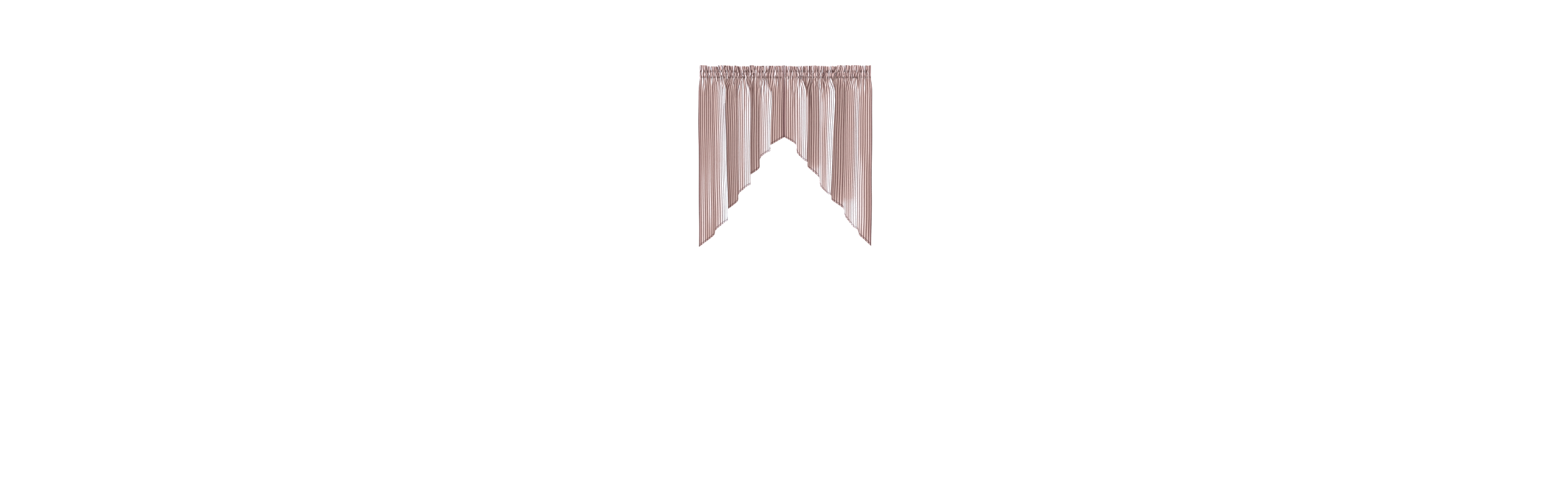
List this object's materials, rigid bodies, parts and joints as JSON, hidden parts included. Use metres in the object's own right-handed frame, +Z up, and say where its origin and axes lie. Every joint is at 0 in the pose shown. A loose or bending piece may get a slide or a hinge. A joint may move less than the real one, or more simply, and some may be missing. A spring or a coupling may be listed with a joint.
{
  "type": "tailored swag curtain pair",
  "caption": "Tailored swag curtain pair in brick and cream ticking: gathered rod-pocket heading, slanted stepped hems and long outer tails.",
  "frame": {"origin": "middle of the top edge of the ruffle, on the rod's vertical plane, where the two panels nearly meet", "axes": "+X along the rod to the right as seen from the room, -Y towards the room, +Z up"},
  "size_m": [0.8705, 0.068, 0.914],
  "materials": {
    "heading_cloth": "matt plain-woven cotton blend, brick and cream ticking stripe, gathered",
    "panel_cloth": "matt plain-woven cotton blend, brick and cream ticking stripe along the drop"
  },
  "bodies": {
    "root": {"left_heading": "heading_cloth", "left_panel": "panel_cloth", "right_heading": "heading_cloth", "right_panel": "panel_cloth"}
  },
  "joints": []
}
